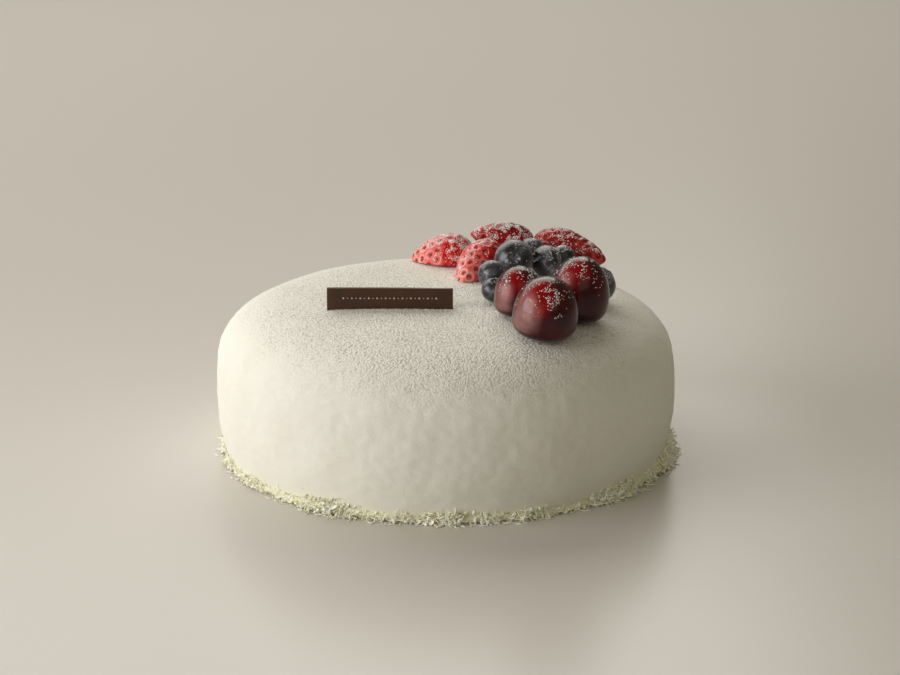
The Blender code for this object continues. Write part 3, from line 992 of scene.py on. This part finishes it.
def makeStrawberry(node, length, width, height, place, cut, look, seedLook):
    draw = np.random.default_rng(strawberries["seed"] + int(node[-1]))
    berry = addSphere(node.replace("_", "Skin_"), *strawberries["mesh"])
    sphere = readPoints(berry)
    share = (1 + sphere[:, 2]) / 2
    around = np.arctan2(sphere[:, 1], sphere[:, 0])
    points = berryPoint(share, around, length, width, height)
    spots = seedSpots(length, width, height, draw)
    centres = berryPoint(spots[:, 0], spots[:, 1], length, width, height)
    distance = np.min(np.linalg.norm(points[:, None] - centres[None], axis=2), axis=1)
    pit = np.exp(-((distance / strawberries["pitRadius"]) ** 2))
    writePoints(berry, points)
    editMesh(berry, bpy.ops.mesh.normals_make_consistent, inside=False)
    lumps = softNoise(points, strawberries["lumpSize"], float(node[-1]))
    lift = strawberries["lumpHeight"] * lumps - pitDepth(share) * pit + strawberries["skinLift"]
    points = points + readNormals(berry) * lift[:, None]
    writePoints(berry, points * mm)
    fromRim = (distance - strawberries["rimRadius"]) / strawberries["rimWidth"]
    setNumbers(berry, "pit", pit)
    setNumbers(berry, "rim", np.exp(-(fromRim**2)))
    setNumbers(berry, "tip", share * strawberries["paleness"][node])
    if cut:
        cutFace = dict(plane_co=(0, 0, 0), plane_no=(0, 0, 1))
        editMesh(berry, bpy.ops.mesh.bisect, **cutFace, clear_inner=True, threshold=1e-7)
        editMesh(berry, bpy.ops.mesh.remove_doubles, threshold=0.01 * mm)
        editMesh(berry, bpy.ops.mesh.fill_holes, sides=0)
        kept = centres[:, 2] > strawberries["seedsAbove"]
        spots, centres = spots[kept], centres[kept]
    berry.data.transform(place)
    finishPiece(berry, look, "strawberry_flesh", node)
    makeSeeds(node, spots, centres, place, draw, seedLook)
    return berry


def makeSeeds(node, spots, centres, place, draw, look):
    # one seed in each pit, lying along the berry
    seed = addSphere("seedTemplate", 8, 6)
    points = readPoints(seed)
    points[:, :2] *= 1 - 0.35 * points[:, :1]  # narrower towards the tip
    writePoints(seed, points)
    count = len(centres)
    outward = centres * (0.35, 1, 1)  # about the skin's normal
    outward /= np.linalg.norm(outward, axis=1)[:, None]
    toTip = np.array([1.0, 0, 0]) - outward * outward[:, :1]
    toTip /= np.linalg.norm(toTip, axis=1)[:, None]
    lengths = draw.uniform(*strawberries["seedLength"], count)
    widths = draw.uniform(*strawberries["seedWidth"], count)
    sizes = np.c_[lengths, widths, np.full(count, strawberries["seedThickness"])]
    sunk = centres - outward * (pitDepth(spots[:, :1]) - strawberries["seedRise"])
    axes = toTip, np.cross(outward, toTip), outward
    matrices = np.array(place)[None] @ frameMatrices(sunk * mm, axes, sizes * mm)
    seeds, _ = joinCopies(node.replace("_", "Seeds_"), seed, matrices)
    finishPiece(seeds, look, "strawberry_flesh", node)


def makeStrawberries(seedLook):
    pieces = {}
    look = strawberryLook("strawberryPaleSkin", *strawberries["halvesSkin"])
    for node, (broad, tip, width, thickness) in strawberries["halves"].items():
        length = math.dist(broad, tip)
        x, y = (broad[0] + tip[0]) / 2, (broad[1] + tip[1]) / 2
        along = Vector((tip[0] - broad[0], tip[1] - broad[1], 0))
        place = surfacePlace(x, y, along, strawberries["gap"])
        pieces[node] = makeStrawberry(node, length, width, 2 * thickness, place, True, look, seedLook)
    look = strawberryLook("strawberryRipeSkin", *strawberries["wholesSkin"])
    for node, (broad, tip, width) in strawberries["wholes"].items():
        along = Vector(tip) - Vector(broad)
        up = Vector((0, 0, 1)) - Vector((0, 0, 1)).project(along)
        place = turnedFrame((Vector(tip) + Vector(broad)) / 2, along, up)
        pieces[node] = makeStrawberry(node, along.length, width, width, place, False, look, seedLook)
    return pieces


def strawberryLook(name, ripe, pale, rims, pits):
    constants = {
        "Specular IOR Level": 0.25,
        "Coat Roughness": 0.08,
        "Subsurface Weight": 0.1,
        "Subsurface Radius": (1.0, 0.12, 0.08),
        "Subsurface Scale": 1.0 * mm,
    }
    look = Surface(name, constants)
    pit, rim, tip = look.attribute("pit"), look.attribute("rim"), look.attribute("tip")
    cloud = look.grain(5 * mm, 3.0)
    blush = look.clamp(tip * 2.2 - 1.1 + (cloud - 0.5) * 1.2)
    flesh = look.mix(blush, linear(*ripe), linear(*pale))
    # painted sheen and sugar dust: a pale rim round each pit
    sheenAndDust = look.clamp(rim * (blush * 0.9 + 0.1) + (cloud - 0.58) * 0.4)
    flesh = look.mix(sheenAndDust, flesh, linear(*rims))
    # painted shade: a dark red in each pit
    sunk = look.clamp(pit * (blush * 0.4 + 0.85) - 0.05)
    colour = look.mix(sunk, flesh, linear(*pits))
    coat = 0.25 - pit * 0.15
    return look.shade({"Base Color": colour, "Roughness": cloud * 0.2 + 0.2, "Coat Weight": coat})


def seedLook():
    look = Surface("strawberrySeeds", {"Specular IOR Level": 0.4})
    cloud = look.grain(2.5 * mm)
    colour = look.ramp(cloud, strawberries["seedColours"])
    return look.shade({"Base Color": colour, "Roughness": cloud * 0.2 + 0.35})


# Sugar grains on the fruit

sugar = {
    "length": (0.14, 0.42),  # mm, half of each grain's length, and half of its width
    "width": (0.09, 0.18),
    "patches": {  # for each fruit: the way that a sugared patch faces, how tight it is, how many grains
        "cherry_front": (((0.16, -0.74, 0.64), 11, 170), ((-0.1, 0, 1), 4, 24), ((-0.7, -0.2, 0.7), 5, 20)),
        "cherry_right": (((-0.5, -0.3, 0.8), 7, 110), ((0.3, -0.5, 0.8), 9, 90), ((0, 0, 1), 2, 20)),
        "cherry_left": (((0.6, 0.0, 0.8), 5, 330), ((-0.5, -0.5, 0.7), 12, 50)),
        "blueberry_1": (((0.2, -0.1, 1.0), 3, 26),),
        "blueberry_2": (((0.3, -0.3, 0.9), 4, 110),),
        "blueberry_3": (((0.0, -0.3, 0.95), 4, 110),),
        "blueberry_4": (((0.2, 0.0, 1.0), 4, 22),),
        "blueberry_5": (((0.3, -0.1, 1.0), 5, 34),),
        "blueberry_6": (((0.2, -0.3, 0.9), 4, 90),),
        "blueberry_7": (((0.2, -0.2, 1.0), 4, 40),),
        "strawberry_1": (((0.3, -0.3, 0.9), 2, 1300), ((0.6, -0.7, 0.3), 4, 560)),
        "strawberry_2": (((-0.3, 0.1, 0.95), 3, 560), ((-0.9, 0.0, 0.4), 4, 160)),
        "strawberry_3": (((0.0, -0.4, 0.9), 1.5, 1250),),
        "strawberry_4": (((0.2, -0.2, 0.95), 2.5, 560), ((0.6, -0.6, 0.5), 4, 90)),
    },
    "uneven": (0.75, 1.2),  # how far its corners lie from its middle, next to a round one's 1
    "tilt": 0.35,  # how far it leans off the skin's normal
    "clump": 2.6,  # mm
    "lift": 0.05,  # mm, its middle above the skin
    "seed": 33,
    "colours": ((0.3, (0.93, 0.90, 0.89)), (0.6, (0.98, 0.98, 0.975))),
}


def rankPoints(points):
    # a rank for every point by its place, because Blender's own order can change from run to run
    rank = np.empty(len(points), dtype=int)
    rank[np.lexsort(np.round(points / mm, 3).T)] = np.arange(len(points))
    return rank


def sortedTriangles(piece):
    # the corners of the piece's triangles, the same ones in the same order each run
    points = readPoints(piece)
    rank = rankPoints(points)
    triangles = []
    for face in piece.data.polygons:
        ring = list(face.vertices)
        first = int(np.argmin(rank[ring]))
        ring = ring[first:] + ring[:first]
        triangles += [(ring[0], b, c) for b, c in zip(ring[1:], ring[2:])]
    triangles = np.array(triangles)
    return points[triangles[np.lexsort(rank[triangles].T)]]


def scatterOn(corners, facing, tightness, count, draw):
    # random places on the triangles, in clumps, most of them on the side that faces that way
    cross = np.cross(corners[:, 1] - corners[:, 0], corners[:, 2] - corners[:, 0])
    areas = np.linalg.norm(cross, axis=1) / 2
    normals = cross / np.maximum(2 * areas, 1e-12)[:, None]
    clumps = softNoise(corners.mean(axis=1), sugar["clump"] * mm, 7.7) * 1.6 + 0.35
    facing = np.array(facing) / np.linalg.norm(facing)
    chance = areas * (np.clip(normals @ facing, 0, 1) ** tightness * np.clip(clumps, 0.04, 1))
    picked = draw.choice(len(areas), count, p=chance / chance.sum())
    a, b = np.sqrt(draw.random(count)), draw.random(count)
    shares = np.stack([1 - a, a * (1 - b), a * b], axis=1)
    return (corners[picked] * shares[:, :, None]).sum(axis=1), normals[picked]


def makeSugar(pieces, look):
    grain = addPrimitive("grainTemplate", bpy.ops.mesh.primitive_ico_sphere_add, subdivisions=1, radius=1)
    draw = np.random.default_rng(sugar["seed"])
    points = readPoints(grain)
    scales = draw.uniform(*sugar["uneven"], (len(points), 1))
    writePoints(grain, points * scales[rankPoints(points)])
    allPlaces, allUps = [], []
    for node, patches in sugar["patches"].items():
        corners = sortedTriangles(pieces[node])
        for facing, tightness, count in patches:
            places, ups = scatterOn(corners, facing, tightness, count, draw)
            allPlaces.append(places)
            allUps.append(ups)
    places, ups = np.concatenate(allPlaces), np.concatenate(allUps)
    count = len(places)
    sizes = np.c_[draw.uniform(*sugar["length"], count), draw.uniform(*sugar["width"], (count, 2))]
    tilted = ups + draw.normal(0, sugar["tilt"], (count, 3))
    lifted = places + ups * sugar["lift"] * mm
    matrices = placeMatrices(lifted, tilted, draw.uniform(-math.pi, math.pi, count), sizes * mm)
    dust, _ = joinCopies("sugarGrains", grain, matrices)
    finishPiece(dust, look, "sugar_dust")


def sugarLook():
    look = Surface("sugarGrains", {"Roughness": 0.4})
    return look.shade({"Base Color": look.ramp(look.grain(1.1 * mm), sugar["colours"])})


# Everything, in order

makeCamera()
makeStudio()
print("camera and studio are in place")
makeCake(velvetLook())
print("the cake's body is made")
makeShreds(shredLook())
makeShredBed(shredBedLook())
print("the ring of shreds is made")
makeBar(chocolateLook())
makeBeads(beadLook())
print("the chocolate bar is made")
fruit = makeCherries(cherryLook())
print("the cherries are made")
blueberrySkin = blueberryLook()
for node, crown in blueberries["crowns"].items():
    fruit[node] = makeBlueberry(node, crown, blueberrySkin)
print("the blueberries are made")
fruit.update(makeStrawberries(seedLook()))
print("the strawberries are made")
makeSugar(fruit, sugarLook())
print("the sugar grains are made")
